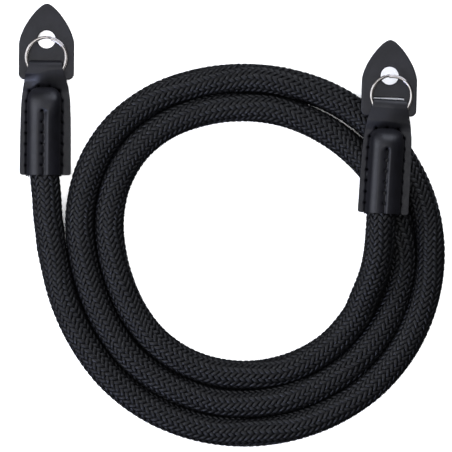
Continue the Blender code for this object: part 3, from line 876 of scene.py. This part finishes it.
stitch_sizes = {
    "Thread Radius": THREAD_RADIUS,
    "Rise": STITCH_RISE,
    "Ends Down": STITCH_ENDS,
    "Sections": 9,
    "Sides": 8,
    "Finish": waxed_thread,
}
stitching, given, out = new_tree("stitching", stitch_sizes)
thread = add_node(
    stitching,
    "GeometryNodeMeshCylinder",
    {"Vertices": given["Sides"], "Side Segments": given["Sections"], "Radius": 1.0, "Depth": 2.0},
    fill_type="NGON",
)
spot = add_node(stitching, "GeometryNodeInputPosition").outputs["Position"]
part = add_node(stitching, "ShaderNodeSeparateXYZ", {"Vector": spot}).outputs
map_spot = add_node(stitching, "ShaderNodeCombineXYZ", {"X": part["X"], "Y": part["Z"]})
mapped = add_node(
    stitching,
    "GeometryNodeStoreNamedAttribute",
    {"Geometry": thread, "Name": "UVMap", "Value": map_spot},
    data_type="FLOAT2",
    domain="CORNER",
)

# One stitch, from -0.5 to 0.5 along X: level in its middle, its ends diving into the holes.
half_along = add_node(stitching, "ShaderNodeMath", {0: part["Z"], 1: 0.5}, operation="MULTIPLY")
from_middle = add_node(stitching, "ShaderNodeMath", {0: part["Z"]}, operation="ABSOLUTE")
steep = add_node(stitching, "ShaderNodeMath", {0: from_middle, 1: 5.0}, operation="POWER")
fallen = add_node(stitching, "ShaderNodeMath", {0: steep, 1: given["Ends Down"]}, operation="MULTIPLY")
risen = add_node(stitching, "ShaderNodeMath", {0: given["Rise"], 1: fallen}, operation="SUBTRACT")
wide = add_node(
    stitching, "ShaderNodeMath", {0: part["X"], 1: given["Thread Radius"]}, operation="MULTIPLY"
)
minus_wide = add_node(stitching, "ShaderNodeMath", {0: wide, 1: -1.0}, operation="MULTIPLY")
tall = add_node(
    stitching,
    "ShaderNodeMath",
    {0: part["Y"], 1: given["Thread Radius"], 2: risen},
    operation="MULTIPLY_ADD",
)
stitch_spot = add_node(stitching, "ShaderNodeCombineXYZ", {"X": half_along, "Y": minus_wide, "Z": tall})
stitch = add_node(stitching, "GeometryNodeSetPosition", {"Geometry": mapped, "Position": stitch_spot})

# Each edge of the seam's line, from hole to hole, gets one stitch of its own length.
ends = add_node(stitching, "GeometryNodeInputMeshEdgeVertices").outputs
way = add_node(
    stitching,
    "ShaderNodeVectorMath",
    {0: ends["Position 2"], 1: ends["Position 1"]},
    operation="SUBTRACT",
).outputs["Vector"]
held = add_node(
    stitching, "GeometryNodeCaptureAttribute", {"Geometry": given["Geometry"]}, domain="EDGE"
)
held.capture_items.new("VECTOR", "Way")
stitching.links.new(way, held.inputs["Way"])
middles = add_node(stitching, "GeometryNodeMeshToPoints", {"Mesh": held}, mode="EDGES")
long = add_node(
    stitching, "ShaderNodeVectorMath", {0: held.outputs["Way"]}, operation="LENGTH"
).outputs["Value"]
stretch = add_node(stitching, "ShaderNodeCombineXYZ", {"X": long, "Y": 1.0, "Z": 1.0})
turned = add_node(
    stitching,
    "FunctionNodeAxesToRotation",
    {"Primary Axis": held.outputs["Way"], "Secondary Axis": (0.0, 0.0, 1.0)},
    primary_axis="X",
    secondary_axis="Z",
)
row = add_node(
    stitching,
    "GeometryNodeInstanceOnPoints",
    {"Points": middles, "Instance": stitch, "Rotation": turned, "Scale": stretch},
)
close_tree(stitching, row, given, out)

for side, place in PLACES.items():
    seams = []
    for holes in (seam_holes(side), groove_holes(side)):
        inner = np.clip(holes[:, 1], 0.6, None)
        heights = front_height(side, holes[:, 0], inner)[0] + OVER_HOLES
        seams.append(np.column_stack([holes, heights]) * 0.001)
    mouth_ends = (seams[0][0], seams[0][-1], seams[1][0])
    for end in mouth_ends:
        end[2] -= MOUTH_DROP
    spots = [place @ Vector(p) for seam in seams for p in seam]
    first = len(seams[0])
    pairs = [(i, i + 1) for i in range(len(spots) - 1) if i != first - 1]
    line = bpy.data.meshes.new(side + "_seams")
    line.from_pydata(spots, pairs, [])
    name = side + "_stitches"
    stitches = placed(name, made_by(stitching, placed(name + "_line", line), name, stitch_sizes))
    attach(stitches, "root")


# The split ring in each loop: flat nickel-plated spring steel wire, wound twice, 15 mm across. The two
# coils lie a little out of line, and the wire's end shows at the top, inside the eye.
RING_RADIUS = 0.0076
WIRE_WIDTH = 0.00098
WIRE_THICKNESS = 0.00066
RING_PLACE = 0.0418
RING_BASE = 0.0028
COIL_STEP = 0.00068
# The lower coil lies this far aside and steps up to the upper one from 345 degrees on, over 30. Its
# start stands out a little over 50 degrees, and the upper coil's end is drawn in over the last 65.
COIL_ASIDE = (0.00036, -0.00012, 0.0)
STEP_UP = (345, 30)
START_OUT = 0.00022
END_IN = 0.00042
RING_TURNS = {"left": -14.0, "right": 10.0}

# Bright nickel plate on steel: mirror-like and slightly warm, with faint scratches along the wire.
nickel_plate, tree, shader = finish_of("bright_nickel_plate", Metallic=1.0)
place = add_node(tree, "ShaderNodeTexCoord").outputs["Object"]
scratches = add_node(tree, "ShaderNodeTexNoise", {"Vector": place, "Scale": 500.0, "Detail": 2.0})
gloss = add_node(
    tree,
    "ShaderNodeMapRange",
    {"Value": scratches, "From Min": 0.3, "From Max": 0.7, "To Min": 0.1, "To Max": 0.2},
)
shade = add_node(tree, "ShaderNodeValToRGB", {"Fac": scratches})
shade.color_ramp.elements[0].position = 0.3
shade.color_ramp.elements[0].color = linear("#b2ada8")
shade.color_ramp.elements[1].position = 0.7
shade.color_ramp.elements[1].color = linear("#c8c4c0")
tree.links.new(shade.outputs["Color"], shader.inputs["Base Color"])
tree.links.new(gloss.outputs["Result"], shader.inputs["Roughness"])


def ring_mesh(name, place, turn):
    """The flat wire swept twice round, from the lower coil into the upper, with both ends closed."""
    corner = 0.48 * WIRE_THICKNESS
    profile = []
    for x, y, start in ((1, 1, 0), (-1, 1, 90), (-1, -1, 180), (1, -1, 270)):
        for step in (0, 45, 90):
            a = math.radians(start + step)
            profile.append(
                (
                    x * (WIRE_WIDTH / 2 - corner) + corner * math.cos(a),
                    y * (WIRE_THICKNESS / 2 - corner) + corner * math.sin(a),
                )
            )
    shape = bmesh.new()
    rings = []
    for number in range(241):
        sweep = 720 * number / 240
        step = float(ease((sweep - STEP_UP[0]) / STEP_UP[1]))
        drawn_in = END_IN * float(ease((sweep - 655) / 65)) - START_OUT * float(ease((50 - sweep) / 50))
        a = math.radians(90 + turn + sweep)
        way = Vector((math.cos(a), math.sin(a), 0.0))
        aside = Vector(COIL_ASIDE) * (1 - step)
        middle = RING_RADIUS - WIRE_WIDTH / 2 - drawn_in
        level = RING_BASE + WIRE_THICKNESS / 2 + COIL_STEP * step
        centre = Vector((0.0, RING_PLACE, level)) + aside
        spots = [centre + way * (middle + u) + Vector((0, 0, v)) for u, v in profile]
        rings.append([shape.verts.new(place @ spot) for spot in spots])
    count = len(profile)
    for ring, following in zip(rings, rings[1:]):
        for i in range(count):
            j = (i + 1) % count
            shape.faces.new((ring[i], ring[j], following[j], following[i]))
    shape.faces.new(rings[0])
    shape.faces.new(rings[-1])
    bmesh.ops.recalc_face_normals(shape, faces=shape.faces)
    mesh = bpy.data.meshes.new(name)
    shape.to_mesh(mesh)
    shape.free()
    mesh.shade_smooth()
    mesh.set_sharp_from_angle(angle=math.radians(50))
    return mesh


for side, place in PLACES.items():
    name = side + "_split_ring"
    ring = placed(name, ring_mesh(name, place, RING_TURNS[side]), nickel_plate)
    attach(ring, "root")
    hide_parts(side + "_ring")


# The guard behind each ring keeps it off the camera: a tab of 1.2 mm leather cut to a pointed arch,
# with a round hole for the camera's lug and a slit that the sleeve's loop passes through.
GUARD_HALF = 0.00985
GUARD_THICKNESS = 0.0012
TIP_TO_SLIT = 0.0206
TIP_LENGTH = 0.0149
GUARD_STRIP = 0.0049
GUARD_CORNER = 0.0021
HOLE_RADIUS = 0.0032
TIP_TO_HOLE = 0.0128
SLIT_HALF = (0.0056, 0.0008)
GUARD_BASE = 0.0013
SLIT_PLACE = 0.0397
GUARD_EDGE = 0.00022
GUARD_CELL = 0.00022
UNEVEN = 0.00010
UNEVEN_SCALE = 160
# How full the arch's curve is, across at its tip and along from its shoulder.
ARCH_PULLS = (0.29, 0.38)
# How far each tip droops, how the tab is moved across and along and turned, in degrees, against its
# sleeve, and how far its slit is off its middle.
GUARD_DROOP = {"left": 0.0006, "right": 0.0008}
GUARD_MOVES = {"left": (0.0001, -0.0001, 0.0), "right": (-0.0006, 0.0005, 2.0)}
SLIT_MOVES = {"left": -0.0003, "right": -0.00025}


def arc(centre, radius, start, end, steps):
    angles = np.radians(np.linspace(start, end, steps + 1))
    return [(centre[0] + radius * math.cos(a), centre[1] + radius * math.sin(a)) for a in angles]


def guard_outline():
    """The pointed arch, drawn with the middle of its slit at the origin."""
    tip = TIP_TO_SLIT + SLIT_HALF[1]
    shoulder = tip - TIP_LENGTH
    bottom = -SLIT_HALF[1] - GUARD_STRIP
    right = arc((GUARD_HALF - GUARD_CORNER, bottom + GUARD_CORNER), GUARD_CORNER, -90, 0, 8)
    for t in np.linspace(0.0, 1.0, 25)[:-1]:
        s = 1 - t
        x = GUARD_HALF * (s**3 + 3 * s * s * t) + ARCH_PULLS[0] * GUARD_HALF * 3 * s * t * t
        y = shoulder * s**3 + (shoulder + ARCH_PULLS[1] * TIP_LENGTH) * 3 * s * s * t
        right.append((x, y + tip * (3 * s * t * t + t**3)))
    return right + [(0.0, tip)] + [(-x, y) for x, y in reversed(right)]


def slit_outline(move):
    half, tall = SLIT_HALF
    corner = 0.6 * tall
    points = arc((half - corner, tall - corner), corner, 0, 90, 4)
    points += arc((corner - half, tall - corner), corner, 90, 180, 4)
    points += arc((corner - half, corner - tall), corner, 180, 270, 4)
    points += arc((half - corner, corner - tall), corner, 270, 360, 4)
    return [(x + move, y) for x, y in points]


def guard_mesh(name, place, slit_move, droop, across, slide, turn):
    """The tab cut out with its hole and slit, with rounded edges and an uneven, drooping face."""
    tip = TIP_TO_SLIT + SLIT_HALF[1]
    hole = arc((0.0, tip - TIP_TO_HOLE), HOLE_RADIUS, 0, 350, 35)
    data = bpy.data.curves.new(name, "CURVE")
    data.dimensions = "2D"
    data.fill_mode = "BOTH"
    data.extrude = GUARD_THICKNESS / 2 - GUARD_EDGE
    data.bevel_depth = GUARD_EDGE
    data.bevel_resolution = 2
    data.offset = -GUARD_EDGE
    for outline in (guard_outline(), hole, slit_outline(slit_move)):
        spline = data.splines.new("POLY")
        spline.points.add(len(outline) - 1)
        for point, (x, y) in zip(spline.points, outline):
            point.co = (x, y, 0.0, 1.0)
        spline.use_cyclic_u = True
    cut = bpy.data.objects.new(name + "_cut", data)
    bpy.context.scene.collection.objects.link(cut)
    tab = placed(name + "_tab", result_of(cut, name + "_tab"))
    even = tab.modifiers.new("even", "REMESH")
    even.mode = "VOXEL"
    even.voxel_size = GUARD_CELL
    relaxed = tab.modifiers.new("relaxed", "SMOOTH")
    relaxed.factor = 0.5
    relaxed.iterations = 4
    mesh = result_of(tab, name)
    local = Matrix.Translation((across, SLIT_PLACE + slide, GUARD_BASE + GUARD_THICKNESS / 2))
    local = local @ Matrix.Rotation(math.radians(turn), 4, "Z")
    for vertex in mesh.vertices:
        spot = vertex.co.copy()
        out_there = max(spot.y / tip, 0.0)
        wave = noise.noise(Vector((spot.x, spot.y, 0.0)) * UNEVEN_SCALE)
        spot.z += UNEVEN * wave - droop * out_there**2
        vertex.co = place @ local @ spot
    mesh.materials.append(black_calf)
    mesh.materials.append(inked_edge)
    for face in mesh.polygons:
        face.material_index = 1 if abs(face.normal.z) < 0.5 else 0
    mesh.shade_smooth()
    return mesh


for side, place in PLACES.items():
    name = side + "_guard_leather"
    guard = placed(
        name, guard_mesh(name, place, SLIT_MOVES[side], GUARD_DROOP[side], *GUARD_MOVES[side])
    )
    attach(guard, "root")
    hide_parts(side + "_guard")
